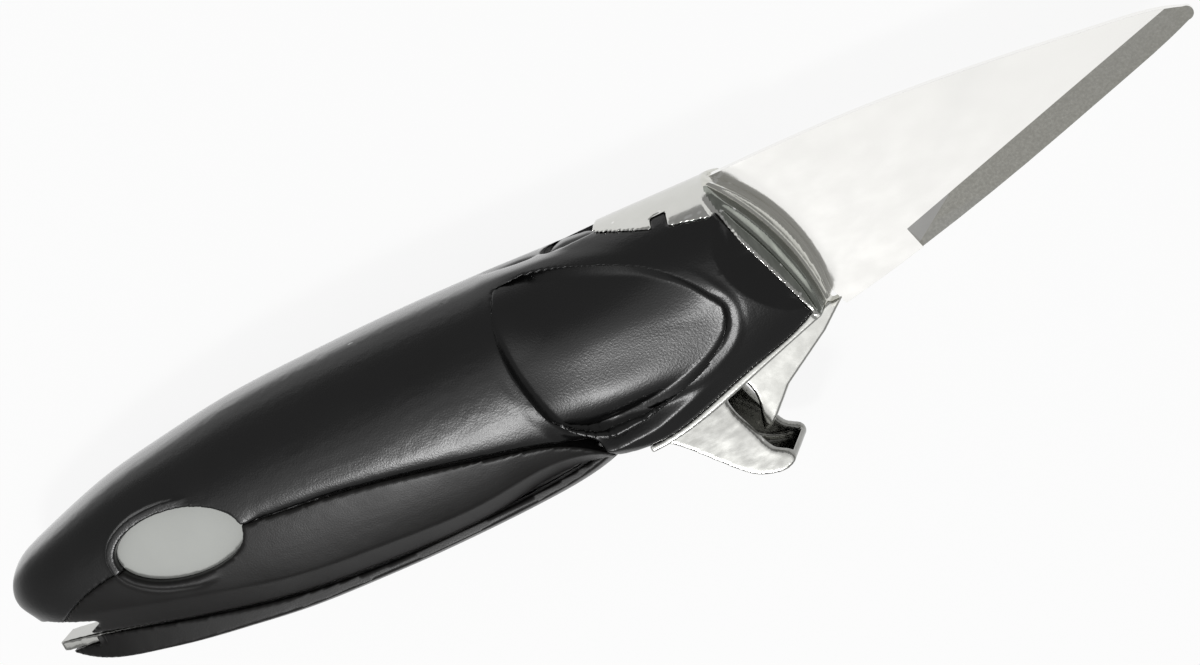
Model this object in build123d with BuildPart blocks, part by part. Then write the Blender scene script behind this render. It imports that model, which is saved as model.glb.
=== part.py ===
from build123d import *
import os

os.makedirs("parts", exist_ok=True)

# Oyster knife with a spring-closed belly lever. It lies on its side: +X runs from the tail nose
# to the blade tip, +Y towards the back of the handle, +Z through its thickness.
# All sizes are in millimetres. Shares are fractions of the sizes they are used with.

# Whole knife
overall_length = 196.0
back_rise = 12.0
stirrup_drop = 32.0
body_thickness = 24.0
belly_drop = 20.0
blade_reach = 70.0
blade_seat = 7.0
body_length = overall_length - blade_reach + blade_seat

tail_x = -overall_length / 2
axis_y = (stirrup_drop - back_rise) / 2
mid_z = body_thickness / 2
half_body = body_thickness / 2
mid_plane = Plane.XY.offset(mid_z)

# One overrun serves every cut
overrun = 4.0

# Handle shells
shell_wall = 2.4
dish_depth = 1.6
cavity_ends_shares = (0.145, 0.68)
rib_width = 6.0

# Blade and tang
blade_thickness = 2.0
blade_heel_drop = 0.77 * belly_drop
blade_spine_rise = 0.783 * back_rise
edge_thickness = 0.4
bevel_width = 3.4
tang_height = 9.0
tang_center_rise = 1.0
tang_length = 0.421 * body_length
tang_clearance = 0.1

# Cross pins through the tang
tang_pin_diameter = 3.0
tang_pin_near_reach = 6.5
tang_pin_far_reach = 10.2
tang_pin_places_shares = (0.564, 0.767)
pin_fit = 0.03

# Ferrule
rim_proud = 0.35
rim_bulge = 1.6
step_bulge = 3.1
nose_bulge = 4.6
step_width = 16.4
nose_width = 8.0
arm_thickness = 1.8
arm_proud = 0.25
arm_notch = 2.4
lip_thickness = 1.0
lip_width = 16.6
tongue_width = 8.0
tooth_thickness = 3.0
tooth_height = 0.844 * stirrup_drop
tooth_length = 0.143 * body_length
tooth_start = 0.872 * body_length

# Ridge slot
slot_width = 6.0
slot_depth = 3.0
slot_length = 14.0

# Eye
eye_length = 20.8
eye_height = 10.6
eye_tilt = -9.0
eye_thickness = 1.6
eye_face_height = 8.6
eye_ring_width = 1.5
eye_ring_rise = 1.3
eye_gap = 0.05
eye_seat = 1.4

# Lever pressing and its cover
sheet = 1.6
strip_width = 8.4
channel_width = 13.0
stirrup_start = 0.733 * body_length
stirrup_length = 22.0
strip_overlap = 1.2
end_gap = 0.1
stud_diameter = 3.0
stud_places_shares = (0.30, 0.60)
ear_radius = 4.5
cover_width = 13.2
cover_bow = 1.4
pocket_clearance = 0.55
channel_edge_radius = 1.2

# Pivot
pivot_along = 0.9286 * body_length
pivot_drop = 0.475 * belly_drop
pivot_diameter = 4.0
pivot_fit = 0.05
pivot_near_reach = 9.0
pivot_far_reach = 10.0
pin_chamfer = 0.3
sleeve_diameter = 5.6
sleeve_end_gap = 0.1
washer_diameter = 8.0
washer_gap = 0.05

# Closing spring
wire_diameter = 0.9
coil_gap = 0.25
coil_turns = 4.6
coil_start_angle = -64.0
leg_length = 6.0
tab_thickness = 1.2

# Screws and inserts
screw_diameter = 3.0
screw_head_diameter = 5.6
screw_head_height = 1.8
screw_head_gap = 0.2
screw_socket_diameter = 2.5
screw_socket_depth = 1.0
screw_length = 16.0
screw_tip_gap = 0.5
screw_seat_shares = [(0.205, -0.615), (0.466, -0.865)]
screw_seam_shares = [(0.205, -0.173), (0.466, -0.348)]
boss_diameter = 7.6
insert_diameter = 4.6
insert_length = 5.0
insert_lift = 0.6


def spot(along, up):
    """A point of the side view, from its distance to the tail nose and its height over the axis."""
    return (tail_x + along, axis_y + up)


def trace(shares, along_size, up_size, along_from=0):
    """Side view points from shares of a length and of a height."""
    return [spot(along_from + along_size * along, up_size * up) for along, up in shares]


# Shell sections: place along the body, back, half width, crease drop, crease half width,
# underside drop, underside half width. Drops are shares of the belly drop.
station_shares = [
    (0.000, -0.06, 0.10, 0.14, 0.09, 0.16, 0.05),
    (0.009, 0.10, 0.25, 0.19, 0.20, 0.25, 0.10),
    (0.030, 0.31, 0.42, 0.27, 0.36, 0.42, 0.22),
    (0.060, 0.44, 0.55, 0.33, 0.49, 0.51, 0.35),
    (0.105, 0.58, 0.66, 0.38, 0.61, 0.58, 0.45),
    (0.173, 0.76, 0.77, 0.475, 0.715, 0.69, 0.52),
    (0.248, 0.875, 0.85, 0.60, 0.765, 0.805, 0.55),
    (0.338, 0.975, 0.92, 0.735, 0.80, 0.915, 0.56),
    (0.451, 1.0, 0.975, 0.815, 0.815, 0.98, 0.56),
    (0.586, 0.975, 1.0, 0.85, 0.815, 0.985, 0.56),
    (0.692, 0.92, 1.0, 0.84, 0.81, 0.94, 0.58),
    (0.767, 0.885, 1.0, 0.99, 0.74, 1.02, 0.68),
    (0.842, 0.85, 0.985, 0.925, 0.73, 0.95, 0.68),
    (0.917, 0.81, 0.95, 0.785, 0.72, 0.81, 0.68),
    (0.985, 0.775, 0.885, 0.655, 0.71, 0.68, 0.67),
    (1.060, 0.74, 0.80, 0.52, 0.69, 0.545, 0.65),
]
side_height_share = 0.42
shoulder_height_share = 0.86
shoulder_width_share = 0.69


def body_form(inset, stations=station_shares):
    """The handle's outer form, taken in or let out by an even amount."""
    with BuildPart() as form:
        for along, back, wide, crease, crease_wide, under, under_wide in stations:
            top = axis_y + back * back_rise - inset
            crease_y = axis_y - crease * belly_drop + inset
            under_y = axis_y - under * belly_drop + inset
            side = wide * half_body - inset
            side_y = crease_y + side_height_share * (top - crease_y)
            shoulder_y = crease_y + shoulder_height_share * (top - crease_y)
            shoulder = shoulder_width_share * side
            crease_side = crease_wide * half_body - inset
            under_side = under_wide * half_body - inset
            with BuildSketch(Plane.YZ.offset(tail_x + along * body_length)):
                with BuildLine():
                    Spline(
                        (crease_y, mid_z + crease_side),
                        (side_y, mid_z + side),
                        (shoulder_y, mid_z + shoulder),
                        (top, mid_z),
                        (shoulder_y, mid_z - shoulder),
                        (side_y, mid_z - side),
                        (crease_y, mid_z - crease_side),
                    )
                    Line((crease_y, mid_z - crease_side), (under_y, mid_z - under_side))
                    Line((under_y, mid_z - under_side), (under_y, mid_z + under_side))
                    Line((under_y, mid_z + under_side), (crease_y, mid_z + crease_side))
                make_face()
        loft()
    return form.part


front_stations = station_shares[9:]
cavity_stations = station_shares[4:13]
outer_form = body_form(0)
inner_form = body_form(shell_wall, cavity_stations)
dish_form = body_form(dish_depth, front_stations)
rim_form = body_form(-rim_proud, front_stations)
arm_outer_form = body_form(-arm_proud, front_stations)
arm_inner_form = body_form(arm_thickness - arm_proud, front_stations)
lip_form = body_form(-lip_thickness, front_stations)

# Front end of the handle, a slanted plane seen edge on from the side
front_top = Vector(*spot(0.939 * body_length, 0.90 * back_rise))
front_foot = Vector(*spot(1.003 * body_length, -0.83 * belly_drop))
front_span = front_foot - front_top
front_out = Vector(-front_span.Y, front_span.X).normalized()
front_middle = (front_top + front_foot) * (1 / 2)

# Facets where each side turns in to meet the rim
facet_top = Vector(*spot(0.947 * body_length, 0.56 * back_rise), mid_z + 0.92 * half_body)
facet_foot = Vector(*spot(0.977 * body_length, -0.55 * belly_drop), mid_z + 0.92 * half_body)
facet_front = Vector(*spot(0.996 * body_length, -0.59 * belly_drop), mid_z + 0.76 * half_body)
facet_normal = (facet_foot - facet_top).cross(facet_front - facet_foot).normalized()
if facet_normal.Z < 0:
    facet_normal = facet_normal * -1
near_facet = Plane(origin=facet_foot, z_dir=facet_normal)
far_facet = Plane(
    origin=(facet_foot.X, facet_foot.Y, 2 * mid_z - facet_foot.Z),
    z_dir=(facet_normal.X, facet_normal.Y, -facet_normal.Z),
)

# Lines that bound the side view's cuts
below_y = axis_y - stirrup_drop - overrun
above_y = axis_y + back_rise + overrun
behind_x = tail_x - overrun
ahead_x = tail_x + overall_length + overrun

# Seam between the upper shell and the belly shell, from the tail notch to the front block
seam_shares = [
    (0.053, -0.36), (0.090, -0.25), (0.135, -0.18), (0.233, -0.17), (0.331, -0.23), (0.383, -0.27),
    (0.444, -0.32), (0.534, -0.435), (0.624, -0.585), (0.688, -0.72), (0.714, -0.84), (0.737, -1.05),
]
seam_points = trace(seam_shares, body_length, belly_drop)
notch_apex = spot(0.099 * body_length, -0.46 * belly_drop)
notch_lower_lip = spot(0.060 * body_length, -0.56 * belly_drop)
notch_upper_lip = spot(0.033 * body_length, -0.315 * belly_drop)

# Places of the pivot, of the cross pins and of the screws
pivot_spot = Vector(*spot(pivot_along, -pivot_drop))
tang_pin_spots = [spot(share * body_length, tang_center_rise) for share in tang_pin_places_shares]
screw_seats = [spot(along * body_length, up * belly_drop) for along, up in screw_seat_shares]
insert_feet = [spot(along * body_length, up * belly_drop + insert_lift) for along, up in screw_seam_shares]

# Blade outline, from the ferrule's nose to the point and back to the heel
blade_start = overall_length - blade_reach
spine_shares = [
    (0.003, 0.99), (0.121, 0.968), (0.319, 0.894), (0.509, 0.755),
    (0.690, 0.574), (0.840, 0.404), (0.933, 0.277), (0.986, 0.14),
]
edge_shares = [(0.985, -0.05), (0.924, -0.145), (0.813, -0.288), (0.587, -0.564), (0.324, -0.84), (0.133, -1.0)]
spine_points = trace(spine_shares, blade_reach, blade_spine_rise, blade_start)
edge_points = trace(edge_shares, blade_reach, blade_heel_drop, blade_start)
point_spot = spot(overall_length, 0)
tang_back_x = spot(blade_start - tang_length, 0)[0]
tang_top_y = axis_y + tang_center_rise + tang_height / 2
tang_bottom_y = axis_y + tang_center_rise - tang_height / 2

with BuildPart() as blade:
    with BuildSketch(mid_plane):
        with BuildLine():
            Spline(*spine_points)
            ThreePointArc(spine_points[-1], point_spot, edge_points[0])
            Spline(*edge_points)
            Line(edge_points[-1], front_middle + front_out * rim_bulge)
            Line(front_middle + front_out * rim_bulge, spine_points[0])
        make_face()
        with BuildLine():
            Polyline(
                (tang_back_x, tang_bottom_y),
                (front_middle.X + step_bulge, tang_bottom_y),
                (front_middle.X + step_bulge, tang_top_y),
                (tang_back_x, tang_top_y),
                close=True,
            )
        make_face()
        with Locations(*tang_pin_spots):
            Circle(tang_pin_diameter / 2 + pin_fit, mode=Mode.SUBTRACT)
    extrude(amount=blade_thickness / 2, both=True)
    # ground bevels that run from the notch in the edge to the point, one on each side
    bevel_foot = Vector(*edge_points[-2])
    bevel_run = Vector(*edge_points[0]) - bevel_foot
    bevel_plane = Plane(
        origin=(bevel_foot.X, bevel_foot.Y, mid_z),
        x_dir=(-bevel_run.Y, bevel_run.X, 0),
        z_dir=(bevel_run.X, bevel_run.Y, 0),
    )
    bevel_slope = (blade_thickness - edge_thickness) / 2 / bevel_width
    for side in (1, -1):
        with BuildSketch(bevel_plane):
            with BuildLine():
                Polyline(
                    (bevel_width, side * blade_thickness / 2),
                    (-overrun, side * (edge_thickness / 2 - overrun * bevel_slope)),
                    (-overrun, side * blade_thickness),
                    (bevel_width, side * blade_thickness),
                    close=True,
                )
            make_face()
        extrude(amount=blade_reach, mode=Mode.SUBTRACT)
blade.part.label = "blade"

# Slot that the blade and its tang take in the ferrule and in the handle
with BuildPart() as blade_slot:
    with BuildSketch(mid_plane):
        with BuildLine():
            Polyline(
                front_middle + front_out * rim_bulge,
                spine_points[0],
                (spine_points[0][0], above_y),
                (ahead_x, above_y),
                (ahead_x, below_y),
                (edge_points[-1][0], below_y),
                edge_points[-1],
                close=True,
            )
        make_face()
    extrude(amount=blade_thickness / 2, both=True)
with BuildPart() as tang_slot:
    with BuildSketch(mid_plane):
        with BuildLine():
            Polyline(
                (tang_back_x - tang_clearance, tang_bottom_y - tang_clearance),
                (front_middle.X + step_bulge, tang_bottom_y - tang_clearance),
                (front_middle.X + step_bulge, tang_top_y + tang_clearance),
                (tang_back_x - tang_clearance, tang_top_y + tang_clearance),
                close=True,
            )
        make_face()
    extrude(amount=blade_thickness / 2 + tang_clearance, both=True)

# Thin arm of the ferrule that saddles the ridge, with the notch for the shell's nub
arm_shares = [(0.816, 0.825), (0.883, 0.60), (0.950, 0.44), (0.950, 1.3), (0.816, 1.3)]
with BuildPart() as ridge_arm:
    add(arm_outer_form)
    with BuildSketch(mid_plane):
        with BuildLine():
            Polyline(*trace(arm_shares, body_length, back_rise), close=True)
        make_face()
        with Locations(spot(arm_shares[1][0] * body_length, arm_shares[1][1] * back_rise)):
            Rectangle(arm_notch, arm_notch, align=(Align.MIN, Align.CENTER), mode=Mode.SUBTRACT)
    extrude(amount=body_thickness, both=True, mode=Mode.INTERSECT)
    add(arm_inner_form, mode=Mode.SUBTRACT)

# Lip under the front of the handle: two side rails and a centre tongue that carries the tooth
lip_back_x = spot(0.767 * body_length, 0)[0]
ear_slot_back_x = spot(0.75 * body_length, 0)[0]
ear_slot_front_x = spot(0.958 * body_length, 0)[0]
tongue_back_x = spot(tooth_start, 0)[0]
pocket_width = channel_width + 2 * pocket_clearance
lip_top_y = axis_y - belly_drop / 2
with BuildPart() as lip:
    add(lip_form)
    with BuildSketch(mid_plane):
        with BuildLine():
            Polyline(
                (lip_back_x, lip_top_y),
                (front_foot.X - rim_bulge, lip_top_y),
                front_foot + front_out * rim_bulge / 2,
                (front_foot.X, below_y),
                (lip_back_x, below_y),
                close=True,
            )
        make_face()
    extrude(amount=lip_width / 2, both=True, mode=Mode.INTERSECT)
    add(outer_form, mode=Mode.SUBTRACT)
    with BuildSketch(Plane.XZ.offset(-lip_top_y)):
        for side in (1, -1):
            with BuildLine():
                Polyline(
                    (ear_slot_back_x, mid_z + side * tongue_width / 2),
                    (ear_slot_front_x, mid_z + side * tongue_width / 2),
                    (ear_slot_front_x, mid_z + side * pocket_width / 2),
                    (ear_slot_back_x, mid_z + side * pocket_width / 2),
                    close=True,
                )
            make_face()
        with BuildLine():
            Polyline(
                (ear_slot_back_x, mid_z - pocket_width / 2),
                (tongue_back_x, mid_z - pocket_width / 2),
                (tongue_back_x, mid_z + pocket_width / 2),
                (ear_slot_back_x, mid_z + pocket_width / 2),
                close=True,
            )
        make_face()
    extrude(amount=stirrup_drop, both=True, mode=Mode.SUBTRACT)

# Tooth under the ferrule: hollow ground rear edge, blunt tip and sloping front
tooth_rear_shares = [(0.026, -0.685), (0.074, -0.778), (0.063, -0.863), (0.016, -0.956), (0.011, -0.996)]
tooth_front_shares = [
    (0.011, -0.996), (0.074, -0.989), (0.153, -0.948), (0.342, -0.826), (0.779, -0.652), (1.021, -0.526),
]
tooth_top_shares = [(1.021, -0.526), (0.80, -0.527), (0.684, -0.545), (0.026, -0.66), (0.026, -0.685)]
with BuildPart() as tooth:
    with BuildSketch(mid_plane):
        with BuildLine():
            Spline(*trace(tooth_rear_shares, tooth_length, tooth_height, tooth_start))
            Polyline(*trace(tooth_front_shares, tooth_length, tooth_height, tooth_start))
            Polyline(*trace(tooth_top_shares, tooth_length, tooth_height, tooth_start))
        make_face()
    extrude(amount=tooth_thickness / 2, both=True)

with BuildPart() as ferrule:
    steps = ((rim_bulge, body_thickness), (step_bulge, step_width), (nose_bulge, nose_width))
    for bulge, width in steps:
        with BuildSketch(mid_plane):
            with BuildLine():
                ThreePointArc(front_top, front_middle + front_out * bulge, front_foot)
                Line(front_foot, front_top)
            make_face()
        extrude(amount=width / 2, both=True)
    add(rim_form, mode=Mode.INTERSECT)
    split(bisect_by=near_facet.offset(rim_proud), keep=Keep.BOTTOM)
    split(bisect_by=far_facet.offset(rim_proud), keep=Keep.BOTTOM)
    add(lip.part)
    add(ridge_arm.part)
    add(tooth.part)
    add(blade_slot.part, mode=Mode.SUBTRACT)
    add(tang_slot.part, mode=Mode.SUBTRACT)
ferrule.part.label = "ferrule"

# Room for the lever inside the front block
pocket_shares = [
    (0.677, -1.3), (0.677, -0.935), (0.729, -0.84), (0.805, -0.66), (0.880, -0.31),
    (0.910, -0.21), (0.965, -0.22), (0.971, -0.40), (0.971, -1.3),
]
with BuildPart() as lever_pocket:
    with BuildSketch(mid_plane):
        with BuildLine():
            Polyline(*trace(pocket_shares, body_length, belly_drop), close=True)
        make_face()
    extrude(amount=pocket_width / 2, both=True)

# Thumb dish on each side of the front block
crescent_shares = [
    (0.695, 0.46), (0.684, 0.23), (0.681, -0.04), (0.686, -0.335), (0.697, -0.565), (0.720, -0.745), (0.741, -0.83),
]
dish_rim_shares = [
    (0.741, -0.83), (0.792, -0.80), (0.849, -0.70), (0.888, -0.58), (0.910, -0.45), (0.915, -0.26),
    (0.900, -0.065), (0.859, 0.17), (0.797, 0.34), (0.731, 0.45), (0.695, 0.46),
]
with BuildPart() as thumb_dish:
    with BuildSketch(mid_plane):
        with BuildLine():
            Spline(*trace(crescent_shares, body_length, belly_drop))
            Spline(*trace(dish_rim_shares, body_length, belly_drop))
        make_face()
    extrude(amount=half_body + overrun, both=True)
    add(dish_form, mode=Mode.SUBTRACT)

# Hollow between the shells, with a boss at each screw, a rib at the rear cross pin and the eye's seats
eye_spot = spot(0.243 * body_length, -0.16 * belly_drop)
eye_place = Location((*eye_spot, 0), eye_tilt)
cavity_start_x, cavity_end_x = (spot(share * body_length, 0)[0] for share in cavity_ends_shares)
with BuildPart() as cavity:
    add(inner_form)
    with BuildSketch(Plane.YZ.offset(cavity_start_x)):
        with Locations((axis_y, mid_z)):
            Rectangle(2 * stirrup_drop, body_thickness)
    extrude(amount=cavity_end_x - cavity_start_x, mode=Mode.INTERSECT)
    with BuildSketch(Plane.XZ.offset(-axis_y)):
        with Locations(*[(x, mid_z) for x, y in screw_seats]):
            Circle(boss_diameter / 2)
        with Locations((tang_pin_spots[0][0], mid_z)):
            Rectangle(rib_width, body_thickness)
    extrude(amount=stirrup_drop, both=True, mode=Mode.SUBTRACT)
    for side in (1, -1):
        with BuildSketch(Plane.XY.offset(mid_z + side * (eye_face_height - eye_thickness - eye_seat))):
            with Locations(eye_place):
                Ellipse(eye_length / 2 + eye_ring_width, eye_height / 2 + eye_ring_width)
        extrude(amount=side * body_thickness, mode=Mode.SUBTRACT)

# The whole handle before it is parted at the seam
with BuildPart() as handle:
    add(outer_form)
    with BuildSketch(mid_plane):
        with Locations(eye_place):
            Ellipse(eye_length / 2 + eye_ring_width, eye_height / 2 + eye_ring_width)
    extrude(amount=eye_face_height + eye_ring_rise, both=True)
    for side in (1, -1):
        with BuildSketch(Plane.XY.offset(mid_z + side * (eye_face_height - eye_thickness))):
            with Locations(eye_place):
                Ellipse(eye_length / 2 + eye_gap, eye_height / 2 + eye_gap)
        extrude(amount=side * body_thickness, mode=Mode.SUBTRACT)
    add(thumb_dish.part, mode=Mode.SUBTRACT)
    add(cavity.part, mode=Mode.SUBTRACT)
    add(lever_pocket.part, mode=Mode.SUBTRACT)
    add(tang_slot.part, mode=Mode.SUBTRACT)
    # cross pins and pivot pin go in from the far side
    with BuildSketch(mid_plane):
        with Locations(*tang_pin_spots):
            Circle(tang_pin_diameter / 2)
    extrude(amount=tang_pin_near_reach, mode=Mode.SUBTRACT)
    with BuildSketch(mid_plane):
        with Locations(*tang_pin_spots):
            Circle(tang_pin_diameter / 2)
    extrude(amount=-body_thickness, mode=Mode.SUBTRACT)
    with BuildSketch(mid_plane):
        with Locations(pivot_spot):
            Circle(pivot_diameter / 2)
    extrude(amount=pivot_near_reach, mode=Mode.SUBTRACT)
    with BuildSketch(mid_plane):
        with Locations(pivot_spot):
            Circle(pivot_diameter / 2)
    extrude(amount=-body_thickness, mode=Mode.SUBTRACT)
    # screw holes, head recesses and insert bores
    for seat, foot in zip(screw_seats, insert_feet):
        with BuildSketch(Plane.XZ.offset(-seat[1])):
            with Locations((seat[0], mid_z)):
                Circle(screw_diameter / 2 + pin_fit)
        extrude(amount=-(screw_length + screw_tip_gap), mode=Mode.SUBTRACT)
        with BuildSketch(Plane.XZ.offset(-seat[1])):
            with Locations((seat[0], mid_z)):
                Circle(screw_head_diameter / 2 + screw_head_gap)
        extrude(amount=belly_drop, mode=Mode.SUBTRACT)
        with BuildSketch(Plane.XZ.offset(-foot[1])):
            with Locations((foot[0], mid_z)):
                Circle(insert_diameter / 2)
        extrude(amount=-insert_length, mode=Mode.SUBTRACT)
    # slot in the ridge behind the ferrule's arm
    with BuildSketch(Plane.XZ.offset(-(axis_y + 0.91 * back_rise - slot_depth))):
        with Locations((spot(0.80 * body_length, 0)[0], mid_z)):
            SlotOverall(slot_length, slot_width)
    extrude(amount=-2 * slot_depth, mode=Mode.SUBTRACT)
    add(ridge_arm.part, mode=Mode.SUBTRACT)

with BuildPart() as upper_shell:
    add(handle.part)
    with BuildSketch(mid_plane):
        with BuildLine():
            Spline(*seam_points)
            Polyline(
                seam_points[-1],
                (seam_points[-1][0], below_y),
                (front_foot.X, below_y),
                front_foot,
                front_top,
                (front_top.X, above_y),
                (behind_x, above_y),
                (behind_x, notch_upper_lip[1]),
                notch_upper_lip,
                seam_points[0],
            )
        make_face()
    extrude(amount=body_thickness, both=True, mode=Mode.INTERSECT)
    split(bisect_by=near_facet, keep=Keep.BOTTOM)
    split(bisect_by=far_facet, keep=Keep.BOTTOM)
upper_shell.part.label = "upper_shell"

with BuildPart() as belly_shell:
    add(handle.part)
    with BuildSketch(mid_plane):
        with BuildLine():
            Spline(*seam_points)
            Polyline(
                seam_points[-1],
                (seam_points[-1][0], below_y),
                (notch_lower_lip[0], below_y),
                notch_lower_lip,
                notch_apex,
                seam_points[0],
            )
        make_face()
    extrude(amount=body_thickness, both=True, mode=Mode.INTERSECT)
belly_shell.part.label = "belly_shell"

# Eye inlays, one on each side
with BuildPart() as eye_inlay_near:
    with BuildSketch(Plane.XY.offset(mid_z + eye_face_height - eye_thickness)):
        with Locations(eye_place):
            Ellipse(eye_length / 2, eye_height / 2)
    extrude(amount=eye_thickness)
eye_inlay_near.part.label = "eye_inlay_near"
with BuildPart() as eye_inlay_far:
    with BuildSketch(Plane.XY.offset(mid_z - eye_face_height + eye_thickness)):
        with Locations(eye_place):
            Ellipse(eye_length / 2, eye_height / 2)
    extrude(amount=-eye_thickness)
eye_inlay_far.part.label = "eye_inlay_far"

# Upper line of the lever's strip, from the bare tip to the stirrup
strip_shares = [
    (0.027, -0.51), (0.067, -0.555), (0.102, -0.60), (0.173, -0.71), (0.248, -0.825), (0.338, -0.935),
    (0.451, -1.0), (0.579, -1.005), (0.677, -0.967), (0.733, -0.91),
]
strip_points = trace(strip_shares, body_length, belly_drop)
strip_under = [(x, y - sheet) for x, y in strip_points]
tip_widths_shares = [(0.0, 0.18), (0.0, 0.34), (0.08, 0.44), (0.22, 0.5), (2.0, 0.5)]
stirrup_back = spot(stirrup_start, 0)[0]

# Outer line of the stirrup's floor, and the rest of its side view
floor_shares = [
    (0.0, -0.618), (0.25, -0.648), (0.486, -0.80), (0.60, -0.891), (0.714, -0.966),
    (0.818, -0.997), (0.95, -1.0), (1.005, -0.975),
]
ear_front_shares = [
    (0.990, -0.940), (0.914, -0.905), (0.845, -0.80), (0.782, -0.67), (0.777, -0.61), (0.859, -0.525),
]
ear_rear_shares = [(0.477, -0.484), (0.159, -0.55), (0.0, -0.56)]
floor_points = trace(floor_shares, stirrup_length, stirrup_drop, stirrup_start)
ear_front_points = trace(ear_front_shares, stirrup_length, stirrup_drop, stirrup_start)
ear_rear_points = trace(ear_rear_shares, stirrup_length, stirrup_drop, stirrup_start)
floor_lift_shares = (0.45, 0.95)
floor_inner = [(x + floor_lift_shares[0] * sheet, y + floor_lift_shares[1] * sheet) for x, y in floor_points]
ear_side = pivot_spot + Vector(-0.30 * ear_radius, -0.98 * ear_radius)
ear_shoulder = pivot_spot + Vector(-0.71 * ear_radius, 0.70 * ear_radius)

# Tab between the ears for the spring's leg, under the ears' rear edge
rear_run = Vector(*ear_rear_points[0]) - ear_shoulder
tab_start = ear_shoulder + rear_run * 0.40
tab_end = ear_shoulder + rear_run * 0.58
tab_drop = Vector(-rear_run.Y, rear_run.X).normalized() * tab_thickness
inner_width = channel_width - 2 * sheet

with BuildPart() as lever_core:
    with BuildSketch(mid_plane):
        with BuildLine():
            Spline(*floor_points)
            Spline(floor_points[-1], *ear_front_points)
            Polyline(ear_front_points[-1], ear_side, pivot_spot)
            Polyline(pivot_spot, ear_shoulder, *ear_rear_points, floor_points[0])
        make_face()
        with Locations(pivot_spot):
            Circle(ear_radius)
    extrude(amount=channel_width / 2, both=True)
    fillet(lever_core.edges().filter_by(GeomType.BSPLINE).sort_by(SortBy.LENGTH)[-2:], channel_edge_radius)
    with BuildSketch(mid_plane):
        with BuildLine():
            Spline(*floor_inner)
            Polyline(
                floor_inner[-1],
                (ahead_x, floor_inner[-1][1]),
                (ahead_x, above_y),
                (behind_x, above_y),
                (behind_x, floor_inner[0][1]),
                floor_inner[0],
            )
        make_face()
    extrude(amount=inner_width / 2, both=True, mode=Mode.SUBTRACT)
    with BuildSketch(mid_plane):
        with Locations(pivot_spot):
            Circle(pivot_diameter / 2 + pivot_fit)
    extrude(amount=channel_width, both=True, mode=Mode.SUBTRACT)
    with BuildSketch(mid_plane):
        with BuildLine():
            Polyline(tab_start, tab_end, tab_end + tab_drop, tab_start + tab_drop, close=True)
        make_face()
    extrude(amount=channel_width / 2 - sheet / 2, both=True)

# The long strip, with its tip narrowed and two holes for the cover's studs
stud_xs = [spot(share * body_length, 0)[0] for share in stud_places_shares]
with BuildPart() as strip:
    with BuildSketch(mid_plane):
        with BuildLine():
            Spline(*strip_points)
            Line(strip_points[-1], (strip_points[-1][0] + strip_overlap, strip_points[-1][1]))
            Line(
                (strip_points[-1][0] + strip_overlap, strip_points[-1][1]),
                (strip_under[-1][0] + strip_overlap, strip_under[-1][1]),
            )
            Line((strip_under[-1][0] + strip_overlap, strip_under[-1][1]), strip_under[-1])
            Spline(*strip_under)
            Line(strip_under[0], strip_points[0])
        make_face()
    extrude(amount=strip_width / 2, both=True)
    with BuildSketch(Plane.XZ.offset(-axis_y)):
        with BuildLine():
            Polyline(
                *[(strip_points[0][0] + along * body_length, mid_z + wide * strip_width)
                  for along, wide in tip_widths_shares],
                *[(strip_points[0][0] + along * body_length, mid_z - wide * strip_width)
                  for along, wide in reversed(tip_widths_shares)],
                close=True,
            )
        make_face()
    extrude(amount=stirrup_drop, both=True, mode=Mode.INTERSECT)
    with BuildSketch(Plane.XZ.offset(-axis_y)):
        with Locations(*[(x, mid_z) for x in stud_xs]):
            Circle(stud_diameter / 2)
    extrude(amount=stirrup_drop, both=True, mode=Mode.SUBTRACT)
with BuildPart() as lever_pressing:
    add(lever_core.part)
    add(strip.part)
lever_pressing.part.label = "lever_core"

# Cover under the strip: bowed underside, lofted from sections, grooved for the strip
cover_station_shares = [
    (0.034, 0.63, 0.40), (0.046, 0.69, 0.47), (0.068, 0.77, 0.60), (0.10, 0.845, 0.74), (0.135, 0.90, 0.84),
    (0.19, 0.975, 0.93), (0.245, 1.03, 0.98), (0.32, 1.095, 1.0), (0.397, 1.125, 1.0), (0.474, 1.14, 1.0),
    (0.552, 1.14, 1.0), (0.63, 1.125, 1.0), (0.688, 1.09, 1.0), (0.733, 1.01, 1.0),
]
cover_lip = spot(0.055 * body_length, -0.62 * belly_drop)
with BuildPart() as cover_groove:
    with BuildSketch(mid_plane):
        with BuildLine():
            Spline(*strip_under)
            Polyline(
                strip_under[-1],
                (strip_under[-1][0] + overrun, strip_under[-1][1]),
                (strip_under[-1][0] + overrun, above_y),
                (behind_x, above_y),
                (behind_x, strip_under[0][1]),
                strip_under[0],
            )
        make_face()
    extrude(amount=strip_width / 2, both=True)
    # studs moulded through the strip's holes stay
    with BuildSketch(Plane.XZ.offset(-axis_y)):
        with Locations(*[(x, mid_z) for x in stud_xs]):
            Circle(stud_diameter / 2)
    extrude(amount=stirrup_drop, both=True, mode=Mode.SUBTRACT)
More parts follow.
